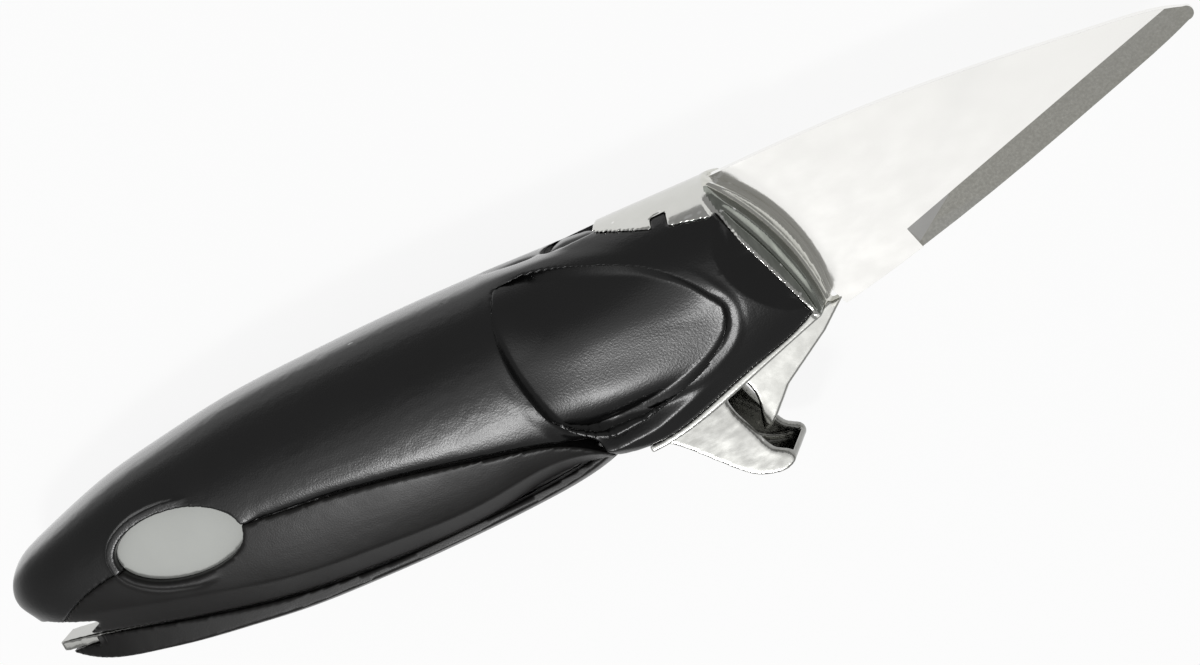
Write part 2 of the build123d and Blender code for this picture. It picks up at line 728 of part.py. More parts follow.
with BuildPart() as lever_cover:
    for along, drop, wide in cover_station_shares:
        low_y = axis_y - drop * belly_drop
        edge_y = low_y + cover_bow * wide * wide
        half = wide * cover_width / 2
        with BuildSketch(Plane.YZ.offset(tail_x + along * body_length)):
            with BuildLine():
                ThreePointArc((edge_y, mid_z - half), (low_y, mid_z), (edge_y, mid_z + half))
                Polyline(
                    (edge_y, mid_z + half), (axis_y, mid_z + half), (axis_y, mid_z - half), (edge_y, mid_z - half)
                )
            make_face()
    loft()
    # everything over the strip's upper line goes, and the bare tip stays free at the sides
    with BuildSketch(mid_plane):
        with BuildLine():
            Spline(*strip_points[1:])
            Polyline(
                strip_points[-1],
                (strip_points[-1][0] + overrun, strip_points[-1][1]),
                (strip_points[-1][0] + overrun, above_y),
                (behind_x, above_y),
                (behind_x, cover_lip[1]),
                cover_lip,
                strip_points[1],
            )
        make_face()
    extrude(amount=cover_width, both=True, mode=Mode.SUBTRACT)
    add(cover_groove.part, mode=Mode.SUBTRACT)
    with BuildSketch(mid_plane):
        with Locations((stirrup_back - end_gap, axis_y)):
            Rectangle(body_length, 2 * stirrup_drop, align=(Align.MIN, Align.CENTER))
    extrude(amount=cover_width, both=True, mode=Mode.SUBTRACT)
lever_cover.part.label = "lever_cover"

# Cross pins through the tang
tang_pins = []
for place, name in zip(tang_pin_spots, ("tang_pin_rear", "tang_pin_front")):
    with BuildPart() as tang_pin:
        with BuildSketch(Plane.XY.offset(mid_z - tang_pin_far_reach)):
            with Locations(place):
                Circle(tang_pin_diameter / 2)
        extrude(amount=tang_pin_far_reach + tang_pin_near_reach)
        chamfer(tang_pin.edges().filter_by(GeomType.CIRCLE), pin_chamfer)
    tang_pin.part.label = name
    tang_pins.append(tang_pin.part)

# Pivot pin, the sleeve on it and a thin washer outside each ear
with BuildPart() as pivot_pin:
    with BuildSketch(Plane.XY.offset(mid_z - pivot_far_reach)):
        with Locations(pivot_spot):
            Circle(pivot_diameter / 2)
    extrude(amount=pivot_far_reach + pivot_near_reach)
    chamfer(pivot_pin.edges().filter_by(GeomType.CIRCLE), pin_chamfer)
pivot_pin.part.label = "pivot_pin"
with BuildPart() as pivot_sleeve:
    with BuildSketch(mid_plane):
        with Locations(pivot_spot):
            Circle(sleeve_diameter / 2)
            Circle(pivot_diameter / 2, mode=Mode.SUBTRACT)
    extrude(amount=inner_width / 2 - sleeve_end_gap, both=True)
pivot_sleeve.part.label = "pivot_sleeve"
washer_thickness = pocket_clearance - 2 * washer_gap
washers = []
for side, name in ((1, "pivot_washer_near"), (-1, "pivot_washer_far")):
    with BuildPart() as washer:
        with BuildSketch(Plane.XY.offset(mid_z + side * (channel_width / 2 + washer_gap))):
            with Locations(pivot_spot):
                Circle(washer_diameter / 2)
                Circle(pivot_diameter / 2, mode=Mode.SUBTRACT)
        extrude(amount=side * washer_thickness)
    washer.part.label = name
    washers.append(washer.part)

# Closing spring round the sleeve, with two straight legs that stay between the ears
coil_radius = sleeve_diameter / 2 + coil_gap + wire_diameter / 2
coil_pitch = wire_diameter + coil_gap
coil_length = coil_pitch * coil_turns
coil_foot = (pivot_spot.X, pivot_spot.Y, mid_z - coil_length / 2)
pivot_line = Axis(coil_foot, (0, 0, 1))
with BuildPart() as closing_spring:
    with BuildLine(Plane(coil_foot)):
        coil = Helix(coil_pitch, coil_length, coil_radius)
        Line(coil @ 0, coil @ 0 - (coil % 0) * leg_length)
        Line(coil @ 1, coil @ 1 + (coil % 1) * leg_length)
    leg_end = coil @ 0 - (coil % 0) * leg_length
    with BuildSketch(Plane(origin=leg_end, z_dir=coil % 0)):
        Circle(wire_diameter / 2)
    sweep()
spring = closing_spring.part.rotate(pivot_line, coil_start_angle)
spring.label = "closing_spring"

# Screws that hold the belly shell, and the inserts they go into
screws = []
inserts = []
for seat, foot, place in zip(screw_seats, insert_feet, ("rear", "front")):
    with BuildPart() as shell_screw:
        with BuildSketch(Plane.XZ.offset(-seat[1])):
            with Locations((seat[0], mid_z)):
                Circle(screw_diameter / 2)
        extrude(amount=-screw_length)
        chamfer(shell_screw.faces().sort_by(Axis.Y)[-1].edges(), pin_chamfer)
        with BuildSketch(Plane.XZ.offset(-seat[1])):
            with Locations((seat[0], mid_z)):
                Circle(screw_head_diameter / 2)
        extrude(amount=screw_head_height)
        with BuildSketch(Plane.XZ.offset(-seat[1] + screw_head_height)):
            with Locations((seat[0], mid_z)):
                RegularPolygon(screw_socket_diameter / 2, 6)
        extrude(amount=-screw_socket_depth, mode=Mode.SUBTRACT)
    shell_screw.part.label = "shell_screw_" + place
    screws.append(shell_screw.part)
    with BuildPart() as screw_insert:
        with BuildSketch(Plane.XZ.offset(-foot[1])):
            with Locations((foot[0], mid_z)):
                Circle(insert_diameter / 2)
                Circle(screw_diameter / 2 + pin_fit, mode=Mode.SUBTRACT)
        extrude(amount=-insert_length)
    screw_insert.part.label = "screw_insert_" + place
    inserts.append(screw_insert.part)

shells = [blade.part, ferrule.part, upper_shell.part, belly_shell.part, eye_inlay_near.part, eye_inlay_far.part]
lever = [lever_pressing.part, lever_cover.part]
pivot = [pivot_pin.part, pivot_sleeve.part, spring]
for part in shells + lever + pivot + tang_pins + washers + screws + inserts:
    export_step(part, f"parts/{part.label}.step")
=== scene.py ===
# %% [markdown]
# # An oyster knife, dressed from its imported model
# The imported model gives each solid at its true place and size. This lesson keeps that frame,
# models the pieces whose form needs finer work, and gives every piece a finish of its own.
# All sizes are in metres. The knife lies on its side: +X points from the tail to the blade's
# point, +Y to the back of the handle, and +Z up through its thickness.

# %% load the frame
import bpy
import math
import numpy as np
from mathutils import Matrix, Vector


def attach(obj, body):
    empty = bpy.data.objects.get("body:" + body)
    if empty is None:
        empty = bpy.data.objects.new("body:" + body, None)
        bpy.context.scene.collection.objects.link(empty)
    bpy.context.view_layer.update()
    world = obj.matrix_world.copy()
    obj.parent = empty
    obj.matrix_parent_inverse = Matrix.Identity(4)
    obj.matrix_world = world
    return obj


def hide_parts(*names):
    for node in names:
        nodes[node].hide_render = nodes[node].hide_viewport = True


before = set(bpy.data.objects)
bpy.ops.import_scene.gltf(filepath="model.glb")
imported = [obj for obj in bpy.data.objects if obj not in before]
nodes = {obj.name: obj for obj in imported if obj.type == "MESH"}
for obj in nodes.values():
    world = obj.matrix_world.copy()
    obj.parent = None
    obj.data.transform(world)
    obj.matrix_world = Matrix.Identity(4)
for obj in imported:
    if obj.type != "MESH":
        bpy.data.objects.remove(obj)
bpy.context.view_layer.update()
print("nodes", sorted(nodes))

# %% [markdown]
# ## Camera
# The photograph looks down on the knife's side, turned a little towards the point and the back.
# The camera is placed from two slants and a roll about its own line of sight, as on a tripod
# head, because these are the numbers a photographer would read off.

# %% camera
MM = 0.001
AIM = Vector((3.29, 5.907, 12.0)) * MM
SLANT_TO_POINT = math.radians(18.0)
SLANT_TO_BACK = math.radians(11.0)
ROLL = math.radians(29.28)
DISTANCE = 474.09 * MM

towards = Vector((math.tan(SLANT_TO_POINT), math.tan(SLANT_TO_BACK), 1.0)).normalized()
level_right = (-towards).cross(Vector((0, 1, 0))).normalized()
level_up = level_right.cross(-towards)
right = math.cos(ROLL) * level_right - math.sin(ROLL) * level_up
up = math.sin(ROLL) * level_right + math.cos(ROLL) * level_up
camera_data = bpy.data.cameras.new("camera")
camera_data.lens = 100
camera_data.sensor_width = 36
camera = bpy.data.objects.new("camera", camera_data)
bpy.context.scene.collection.objects.link(camera)
spot = AIM + towards * DISTANCE
turn = Matrix((right, up, towards)).transposed()
camera.matrix_world = Matrix.Translation(spot) @ turn.to_4x4()
bpy.context.scene.camera = camera
print("camera at", [round(v, 4) for v in spot])

# %% [markdown]
# ## Floor and light
# The knife lies on a plain white sheet. A lit sheet is never quite white, so most of what the
# eye, a mirror or glass sees of it is a plain white glow, and a tenth is its own shading, which
# keeps the shadow soft and pale. Dull surfaces get only the light of plain white paper from it.

# %% floor
SHEET_SIZE = 3.0
SHEET_DROP = 0.0002
GLOW_SHARE = 0.90

scene = bpy.context.scene
scene.view_settings.view_transform = "Standard"
bpy.ops.object.select_all(action="DESELECT")
bpy.ops.mesh.primitive_plane_add(size=SHEET_SIZE, location=(0, 0, -SHEET_DROP))
floor = bpy.context.object
floor.name = "floor"
floor_finish = bpy.data.materials.new("white_sheet")
floor_finish.use_nodes = True
tree = floor_finish.node_tree
tree.nodes.clear()
sheet_out = tree.nodes.new("ShaderNodeOutputMaterial")
sheet_mix = tree.nodes.new("ShaderNodeMixShader")
sheet_diffuse = tree.nodes.new("ShaderNodeBsdfDiffuse")
sheet_glow = tree.nodes.new("ShaderNodeEmission")
sheet_path = tree.nodes.new("ShaderNodeLightPath")
sheet_seen = tree.nodes.new("ShaderNodeMath")
sheet_seen_or_through = tree.nodes.new("ShaderNodeMath")
sheet_share = tree.nodes.new("ShaderNodeMath")
sheet_diffuse.inputs["Color"].default_value = (0.98, 0.98, 0.98, 1)
sheet_glow.inputs["Color"].default_value = (1, 1, 1, 1)
sheet_glow.inputs["Strength"].default_value = 1.0
sheet_seen.operation = "MAXIMUM"
sheet_seen_or_through.operation = "MAXIMUM"
sheet_share.operation = "MULTIPLY"
sheet_share.inputs[1].default_value = GLOW_SHARE
tree.links.new(sheet_path.outputs["Is Camera Ray"], sheet_seen.inputs[0])
tree.links.new(sheet_path.outputs["Is Glossy Ray"], sheet_seen.inputs[1])
tree.links.new(sheet_seen.outputs[0], sheet_seen_or_through.inputs[0])
tree.links.new(sheet_path.outputs["Is Transmission Ray"], sheet_seen_or_through.inputs[1])
tree.links.new(sheet_seen_or_through.outputs[0], sheet_share.inputs[0])
tree.links.new(sheet_share.outputs[0], sheet_mix.inputs[0])
tree.links.new(sheet_diffuse.outputs[0], sheet_mix.inputs[1])
tree.links.new(sheet_glow.outputs[0], sheet_mix.inputs[2])
tree.links.new(sheet_mix.outputs[0], sheet_out.inputs["Surface"])
floor.data.materials.append(floor_finish)
print("floor ready")

# %% [markdown]
# ## Light
# A large soft box above gives the blade its even brightness. A small one, lower and towards the
# belly, makes the streak in the thumb dish and along the lower body. The room adds a third of
# full light from all round. A rim light behind the ridge was tried and left out, because the
# ridge turns away from the camera and mirrors only the floor.

# %% light
ROOM_LEVEL = 0.33

world = bpy.data.worlds.new("studio")
scene.world = world
world.use_nodes = True
world.node_tree.nodes["Background"].inputs["Color"].default_value = (1, 1, 1, 1)
world.node_tree.nodes["Background"].inputs["Strength"].default_value = ROOM_LEVEL


def soft_box(name, place, aim, wide, high, watts):
    """A rectangular lamp that faces a point."""
    data = bpy.data.lights.new(name, "AREA")
    data.shape = "RECTANGLE"
    data.size = wide
    data.size_y = high
    data.energy = watts
    lamp = bpy.data.objects.new(name, data)
    scene.collection.objects.link(lamp)
    lamp.location = place
    lamp.rotation_euler = (Vector(aim) - Vector(place)).to_track_quat("-Z", "Y").to_euler()
    print("lamp", name, watts, "W")


soft_box("overhead", (-0.25, -0.14, 0.72), (0, 0, 0), 0.62, 0.62, 0.74)
soft_box("streak", (-0.26, -0.27, 0.66), (0, 0, 0.01), 0.12, 0.10, 2.0)

# %% [markdown]
# ## Shared effects
# Three small shader groups are used by most finishes: a fine moulded grain, brushed lines, and a
# mask that finds outer edges and inner corners. Each material gives them its own values, so
# plastic, ground steel and polished steel can share them.

# %% shared effects
def new_group(name, inputs, outputs):
    """An empty shader group with float inputs and the outputs named."""
    group = bpy.data.node_groups.new(name, "ShaderNodeTree")
    for label, value in inputs:
        socket = group.interface.new_socket(name=label, in_out="INPUT", socket_type="NodeSocketFloat")
        socket.default_value = value
    for label, kind in outputs:
        group.interface.new_socket(name=label, in_out="OUTPUT", socket_type=kind)
    begin = group.nodes.new("NodeGroupInput")
    end = group.nodes.new("NodeGroupOutput")
    return group, begin, end


grain_group, begin, end = new_group(
    "moulded_grain",
    [("Scale", 2600.0), ("Depth", 0.00003), ("Patch Scale", 90.0)],
    [("Normal", "NodeSocketVector"), ("Patches", "NodeSocketFloat")],
)
place = grain_group.nodes.new("ShaderNodeTexCoord")
fine = grain_group.nodes.new("ShaderNodeTexNoise")
fine.inputs["Detail"].default_value = 2.0
coarse = grain_group.nodes.new("ShaderNodeTexNoise")
coarse.inputs["Detail"].default_value = 3.0
dent = grain_group.nodes.new("ShaderNodeBump")
dent.inputs["Strength"].default_value = 1.0
join = grain_group.links.new
join(place.outputs["Object"], fine.inputs["Vector"])
join(place.outputs["Object"], coarse.inputs["Vector"])
join(begin.outputs["Scale"], fine.inputs["Scale"])
join(begin.outputs["Patch Scale"], coarse.inputs["Scale"])
join(begin.outputs["Depth"], dent.inputs["Distance"])
join(fine.outputs["Fac"], dent.inputs["Height"])
join(dent.outputs["Normal"], end.inputs["Normal"])
join(coarse.outputs["Fac"], end.inputs["Patches"])

brush_group, begin, end = new_group(
    "brushed_lines",
    [("Along X", 60.0), ("Along Y", 60.0), ("Along Z", 60.0), ("Depth", 0.00001)],
    [("Normal", "NodeSocketVector"), ("Lines", "NodeSocketFloat")],
)
place = brush_group.nodes.new("ShaderNodeTexCoord")
stretch = brush_group.nodes.new("ShaderNodeCombineXYZ")
scaled = brush_group.nodes.new("ShaderNodeVectorMath")
scaled.operation = "MULTIPLY"
lines = brush_group.nodes.new("ShaderNodeTexNoise")
lines.inputs["Scale"].default_value = 1.0
lines.inputs["Detail"].default_value = 4.0
scratch = brush_group.nodes.new("ShaderNodeBump")
scratch.inputs["Strength"].default_value = 1.0
join = brush_group.links.new
join(begin.outputs["Along X"], stretch.inputs["X"])
join(begin.outputs["Along Y"], stretch.inputs["Y"])
join(begin.outputs["Along Z"], stretch.inputs["Z"])
join(place.outputs["Object"], scaled.inputs[0])
join(stretch.outputs["Vector"], scaled.inputs[1])
join(scaled.outputs["Vector"], lines.inputs["Vector"])
join(begin.outputs["Depth"], scratch.inputs["Distance"])
join(lines.outputs["Fac"], scratch.inputs["Height"])
join(scratch.outputs["Normal"], end.inputs["Normal"])
join(lines.outputs["Fac"], end.inputs["Lines"])

edge_group, begin, end = new_group(
    "edges_and_corners",
    [("Sharpness", 8.0)],
    [("Edge", "NodeSocketFloat"), ("Corner", "NodeSocketFloat")],
)
shape = edge_group.nodes.new("ShaderNodeNewGeometry")
outer = edge_group.nodes.new("ShaderNodeMath")
outer.operation = "SUBTRACT"
outer.inputs[1].default_value = 0.53
outer_gain = edge_group.nodes.new("ShaderNodeMath")
outer_gain.operation = "MULTIPLY"
outer_gain.use_clamp = True
inner = edge_group.nodes.new("ShaderNodeMath")
inner.operation = "SUBTRACT"
inner.inputs[0].default_value = 0.47
inner_gain = edge_group.nodes.new("ShaderNodeMath")
inner_gain.operation = "MULTIPLY"
inner_gain.use_clamp = True
join = edge_group.links.new
join(shape.outputs["Pointiness"], outer.inputs[0])
join(shape.outputs["Pointiness"], inner.inputs[1])
join(outer.outputs[0], outer_gain.inputs[0])
join(inner.outputs[0], inner_gain.inputs[0])
join(begin.outputs["Sharpness"], outer_gain.inputs[1])
join(begin.outputs["Sharpness"], inner_gain.inputs[1])
join(outer_gain.outputs[0], end.inputs["Edge"])
join(inner_gain.outputs[0], end.inputs["Corner"])
print("groups", [group.name for group in bpy.data.node_groups])

# %% [markdown]
# ## Finishes
# Black satin plastic has a fine grain and slightly uneven gloss, and on the back of the handle
# it shines where it is seen at a glancing angle. The belly's plastic is duller. The steels
# differ in how they were worked: the blade's flats are polished, its bevels are ground across
# the edge, the ferrule is tumbled and has ground steps, and the lever is a finely brushed
# pressing. The steels' inner corners get painted shade, a dark colour mixed in, and worn outer edges are
# brighter.

# %% finish helpers
def new_finish(name, color, metallic, roughness):
    """A material with one Principled shader, and its node tree."""
    finish = bpy.data.materials.new(name)
    finish.use_nodes = True
    shader = finish.node_tree.nodes["Principled BSDF"]
    shader.inputs["Base Color"].default_value = (*color, 1)
    shader.inputs["Metallic"].default_value = metallic
    shader.inputs["Roughness"].default_value = roughness
    finish.diffuse_color = (*color, 1)
    return finish, finish.node_tree, shader


def use_group(tree, group, **values):
    """A group node with its input values set."""
    node = tree.nodes.new("ShaderNodeGroup")
    node.node_tree = group
    for label, value in values.items():
        node.inputs[label.replace("_", " ")].default_value = value
    return node


def blend(tree, mask, low, high):
    """A colour that goes from low to high along a mask."""
    mix = tree.nodes.new("ShaderNodeMix")
    mix.data_type = "RGBA"
    mix.inputs["A"].default_value = (*low, 1)
    mix.inputs["B"].default_value = (*high, 1)
    tree.links.new(mask, mix.inputs["Factor"])
    return mix.outputs["Result"]


def spread(tree, mask, low, high):
    """A number that goes from low to high along a mask."""
    span = tree.nodes.new("ShaderNodeMapRange")
    span.inputs["From Min"].default_value = 0.3
    span.inputs["From Max"].default_value = 0.7
    span.inputs["To Min"].default_value = low
    span.inputs["To Max"].default_value = high
    tree.links.new(mask, span.inputs["Value"])
    return span.outputs["Result"]


# %% black satin plastic
def plastic(name, color, rough_low, rough_high, scale, depth):
    """Moulded plastic: grain in the normal and patches in the gloss."""
    finish, tree, shader = new_finish(name, color, 0.0, rough_low)
    grain = use_group(tree, grain_group, Scale=scale, Depth=depth)
    tree.links.new(grain.outputs["Normal"], shader.inputs["Normal"])
    gloss = spread(tree, grain.outputs["Patches"], rough_low, rough_high)
    tree.links.new(gloss, shader.inputs["Roughness"])
    lighter = tuple(value * 1.35 + 0.002 for value in color)
    tree.links.new(blend(tree, grain.outputs["Patches"], color, lighter), shader.inputs["Base Color"])
    return finish, shader


black_satin, shader = plastic("black_satin", (0.0025, 0.0025, 0.0026), 0.26, 0.32, 3600.0, 0.000019)
shader.inputs["Specular IOR Level"].default_value = 0.50
shader.inputs["Sheen Weight"].default_value = 0.35
shader.inputs["Sheen Roughness"].default_value = 0.20
shader.inputs["Coat IOR"].default_value = 3.0
shader.inputs["Coat Roughness"].default_value = 0.10

# %% glancing gloss of the ridge
GLANCE_FROM, GLANCE_TO = 0.43, 0.62
BACK_FROM, BACK_TO = 0.45, 0.80

tree = black_satin.node_tree
slant = tree.nodes.new("ShaderNodeLayerWeight")
slant.inputs["Blend"].default_value = 0.5
glancing = tree.nodes.new("ShaderNodeMapRange")
glancing.interpolation_type = "SMOOTHSTEP"
glancing.inputs["From Min"].default_value = GLANCE_FROM
glancing.inputs["From Max"].default_value = GLANCE_TO
surface = tree.nodes.new("ShaderNodeTexCoord")
split = tree.nodes.new("ShaderNodeSeparateXYZ")
ridge = tree.nodes.new("ShaderNodeMapRange")
ridge.interpolation_type = "SMOOTHSTEP"
ridge.inputs["From Min"].default_value = BACK_FROM
ridge.inputs["From Max"].default_value = BACK_TO
handled = tree.nodes.new("ShaderNodeMath")
handled.operation = "MULTIPLY"
tree.links.new(slant.outputs["Facing"], glancing.inputs["Value"])
tree.links.new(surface.outputs["Normal"], split.inputs["Vector"])
tree.links.new(split.outputs["Y"], ridge.inputs["Value"])
tree.links.new(glancing.outputs["Result"], handled.inputs[0])
tree.links.new(ridge.outputs["Result"], handled.inputs[1])
tree.links.new(handled.outputs["Value"], shader.inputs["Coat Weight"])
print("ridge gloss from", GLANCE_FROM, "to", GLANCE_TO)

# %% belly plastic and grey inlay
belly_black, shader = plastic("belly_black", (0.0040, 0.0036, 0.0034), 0.33, 0.42, 4200.0, 0.000014)
shader.inputs["Specular IOR Level"].default_value = 0.30
shader.inputs["Sheen Weight"].default_value = 0.25
shader.inputs["Sheen Roughness"].default_value = 0.25
inlay_grey, shader = plastic("inlay_grey", (0.45, 0.462, 0.44), 0.5, 0.6, 3200.0, 0.00001)
print("plastics ready")


# %% steels
def steel(name, color, dark, rough_low, rough_high, lines, depth, corner_gain):
    """Worked steel: brushed lines, painted shade in inner corners, and worn, brighter outer edges."""
    finish, tree, shader = new_finish(name, color, 1.0, rough_low)
    brushed = use_group(
        tree, brush_group, Along_X=lines[0], Along_Y=lines[1], Along_Z=lines[2], Depth=depth)
    edges = use_group(tree, edge_group, Sharpness=corner_gain)
    tone = blend(tree, brushed.outputs["Lines"], dark, color)
    # Painted shade: a dark colour is mixed into the base colour where the corner mask finds inner corners.
    shade = tree.nodes.new("ShaderNodeMix")
    shade.data_type = "RGBA"
    shade.inputs["B"].default_value = (0.08, 0.08, 0.075, 1)
    tree.links.new(edges.outputs["Corner"], shade.inputs["Factor"])
    tree.links.new(tone, shade.inputs["A"])
    worn = tree.nodes.new("ShaderNodeMix")
    worn.data_type = "RGBA"
    worn.inputs["B"].default_value = (0.80, 0.80, 0.78, 1)
    tree.links.new(edges.outputs["Edge"], worn.inputs["Factor"])
    tree.links.new(shade.outputs["Result"], worn.inputs["A"])
    tree.links.new(worn.outputs["Result"], shader.inputs["Base Color"])
    tree.links.new(brushed.outputs["Normal"], shader.inputs["Normal"])
    gloss = spread(tree, brushed.outputs["Lines"], rough_low, rough_high)
    tree.links.new(gloss, shader.inputs["Roughness"])
    return finish


polished = steel(
    "polished_steel", (0.94, 0.932, 0.905), (0.915, 0.907, 0.88), 0.10, 0.14, (220, 420, 420),
    0.0000008, 4.0)
ground = steel(
    "ground_bevel", (0.86, 0.85, 0.78), (0.62, 0.61, 0.55), 0.13, 0.19, (2600, 2600, 60), 0.000006, 4.0)
ground_steps = steel(
    "ground_steps", (0.76, 0.755, 0.70), (0.50, 0.50, 0.46), 0.14, 0.20, (900, 120, 900), 0.000010, 8.0)
cut_edge = steel(
    "cut_edge", (0.36, 0.36, 0.34), (0.10, 0.10, 0.09), 0.16, 0.24, (1500, 1500, 500), 0.000020, 5.0)
tumbled = steel(
    "tumbled_steel", (0.68, 0.68, 0.65), (0.61, 0.61, 0.58), 0.10, 0.14, (500, 500, 500), 0.000008, 9.0)
step_band = steel(
    "step_band", (0.40, 0.42, 0.38), (0.17, 0.18, 0.16), 0.16, 0.22, (1500, 260, 1500), 0.000012, 12.0)
brushed_steel = steel(
    "brushed_steel", (0.47, 0.47, 0.45), (0.42, 0.42, 0.40), 0.10, 0.14, (420, 900, 900), 0.000003, 7.0)
turned = steel(
    "turned_steel", (0.55, 0.55, 0.54), (0.42, 0.42, 0.41), 0.25, 0.35, (300, 300, 1800), 0.000004, 5.0)
wire = steel(
    "drawn_wire", (0.30, 0.30, 0.30), (0.22, 0.22, 0.22), 0.30, 0.40, (900, 900, 900), 0.000003, 5.0)
brass = steel(
    "turned_brass", (0.72, 0.52, 0.22), (0.60, 0.42, 0.17), 0.28, 0.38, (900, 900, 900), 0.000003, 5.0)
print("steels ready")

# %% [markdown]
# ## Plain inner pieces
# Pins, sleeve, washers, screws, inserts and spring have their true shape in the frame already,
# so they only get a finish of their own.

# %% finishes of the inner pieces
def dress(node, finish):
    """Puts a finish on a piece of the frame."""
    nodes[node].data.materials.clear()
    nodes[node].data.materials.append(finish)


for name in ("tang_pin_rear", "tang_pin_front", "pivot_pin", "pivot_sleeve", "pivot_washer_near",
             "pivot_washer_far", "shell_screw_rear", "shell_screw_front"):
    dress(name, turned)
dress("closing_spring", wire)
dress("screw_insert_rear", brass)
dress("screw_insert_front", brass)
dress("eye_inlay_near", inlay_grey)
dress("eye_inlay_far", inlay_grey)
print("inner pieces dressed")

# %% [markdown]
# ## Softened copies
# A moulded shell or a pressing has no knife-sharp corner. Each visible piece is copied from the
# frame, its loose triangles are merged, and a fine voxel remesh with a little smoothing rounds
# every edge by a few tenths of a millimetre, which is what catches the light. A bevel modifier
# was the other choice, but it can break where many small curved faces meet.

# %% copy and soften
def copy_of(node, name):
    """A merged copy of a piece of the frame, selected and active."""
    bpy.ops.object.select_all(action="DESELECT")
    piece = nodes[node].copy()
    piece.data = nodes[node].data.copy()
    piece.name = name
    piece.parent = None
    piece.matrix_world = Matrix.Identity(4)
    scene.collection.objects.link(piece)
    piece.select_set(True)
    bpy.context.view_layer.objects.active = piece
    bpy.ops.object.mode_set(mode="EDIT")
    bpy.ops.mesh.select_all(action="SELECT")
    bpy.ops.mesh.remove_doubles(threshold=0.000002)
    bpy.ops.mesh.customdata_custom_splitnormals_clear()
    bpy.ops.object.mode_set(mode="OBJECT")
    return piece


def soften(piece, voxel, rounds):
    """Remeshes a piece evenly and relaxes it."""
    even = piece.modifiers.new("even", "REMESH")
    even.mode = "VOXEL"
    even.voxel_size = voxel
    even.use_smooth_shade = True
    bpy.ops.object.modifier_apply(modifier=even.name)
    relax = piece.modifiers.new("relax", "SMOOTH")
    relax.factor = 0.5
    relax.iterations = rounds
    bpy.ops.object.modifier_apply(modifier=relax.name)
    bpy.ops.object.shade_smooth()
    print(piece.name, len(piece.data.polygons), "faces")


def finish_piece(piece, finish, body, node):
    """Gives a piece its finish and its body, and hides the node that it stands for."""
    piece.data.materials.clear()
    piece.data.materials.append(finish)
    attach(piece, body)
    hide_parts(node)


# %% [markdown]
# ## Thumb dish and seam
# On the real handle the dish is a smooth scoop: it starts with a sharp crescent behind the
# thumb, deepens, and comes up again to a soft rim. The solid has a flat floored dish, so here
# the floor is moved in and out by its distance from the rim, drawn as a closed line in the side
# view. Along the seam the upper shell sinks a little, which leaves the belly shell's edge proud.
# Pushing faces about by hand gives a lumpy scoop, so each point is moved by a formula instead.
# Sizes in these cells are in millimetres: along from the tail, and rise above the axis.

# %% lines in the side view
TAIL = -98.0
AXIS = 10.0
MIDDLE = 12.0
rim = [(91.5, 10.4), (95.3, 10.0), (99.9, 8.8), (105.1, 7.2), (110.2, 5.5), (114.3, 3.8), (117.4, 1.5),
       (119.7, -0.7), (121.8, -3.9), (122.7, -6.0), (122.6, -7.5), (121.8, -9.2), (120.1, -10.9),
       (116.7, -12.6), (112.6, -13.9), (107.6, -15.1), (103.0, -16.1), (98.4, -16.9)]
crescent = [(98.4, -16.9), (95.5, -15.7), (93.5, -13.9), (92.3, -11.1), (91.3, -7.2), (90.5, -2.3),
            (90.5, 1.7), (90.7, 4.4), (91.1, 7.6)]
open_end = [(91.1, 7.6), (91.5, 10.4)]
seam = [(44.0, -4.9), (50.9, -5.5), (59.0, -6.4), (71.0, -8.7), (83.0, -11.7), (91.4, -14.2), (94.6, -16.4)]


def rounded(points, steps=5):
    """A smooth curve that passes through every point."""
    spots = np.array(points, float)
    before = np.vstack([2 * spots[0] - spots[1], spots, 2 * spots[-1] - spots[-2]])
    line = []
    for index in range(len(spots) - 1):
        a, b, c, d = before[index:index + 4]
        for share in np.arange(steps) / steps:
            line.append(0.5 * (2 * b + (c - a) * share + (2 * a - 5 * b + 4 * c - d) * share ** 2
                               + (3 * b - a - 3 * c + d) * share ** 3))
    line.append(spots[-1])
    return np.array(line)


def distance_to(place, line):
    """The least distance of each place to a line."""
    best = np.full(len(place), 1000.0)
    for start, end in zip(line[:-1], line[1:]):
        run = end - start
        share = np.clip((place - start) @ run / (run @ run), 0, 1)
        best = np.minimum(best, np.linalg.norm(place - start - share[:, None] * run, axis=1))
    return best


def inside(place, line):
    """Whether each place lies inside a closed line."""
    hit = np.zeros(len(place), bool)
    for start, end in zip(line, np.roll(line, -1, axis=0)):
        if start[1] == end[1]:
            continue
        beside = (start[1] > place[:, 1]) != (end[1] > place[:, 1])
        cross = start[0] + (place[:, 1] - start[1]) * (end[0] - start[0]) / (end[1] - start[1])
        hit ^= beside & (place[:, 0] < cross)
    return hit


def step(value, low, high):
    """Rises smoothly from 0 to 1 between two values."""
    share = np.clip((value - low) / (high - low), 0, 1)
    return share * share * (3 - 2 * share)


print("dish line", len(rim) + len(crescent), "points")

# %% handle shells
upper = copy_of("upper_shell", "upper_shell_skin")
soften(upper, 0.00026, 3)

# %% the skin as distance from a line inside
CORE_DROP = 4.0

count = len(upper.data.vertices)
spots = np.empty(count * 3)
upper.data.vertices.foreach_get("co", spots)
spots = spots.reshape(-1, 3) / MM
slants = np.empty(count * 3)
upper.data.vertices.foreach_get("normal", slants)
slants = slants.reshape(-1, 3)
side = np.where(spots[:, 2] >= MIDDLE, 1.0, -1.0)
along = spots[:, 0] - TAIL
rise = spots[:, 1] - AXIS
reach = np.abs(spots[:, 2] - MIDDLE)
angle = np.arctan2(rise + CORE_DROP, reach)
radius = np.hypot(rise + CORE_DROP, reach)
facing = slants[:, 1] * np.sin(angle) + slants[:, 2] * side * np.cos(angle)
place = np.stack([along, rise], axis=1)
rim_line = rounded(rim)
crescent_line = rounded(crescent)
outline = np.vstack([rim_line, crescent_line])
within = inside(place, outline)
to_rim = distance_to(place, rim_line)
to_crescent = distance_to(place, crescent_line)
to_outline = np.minimum(to_rim, to_crescent)
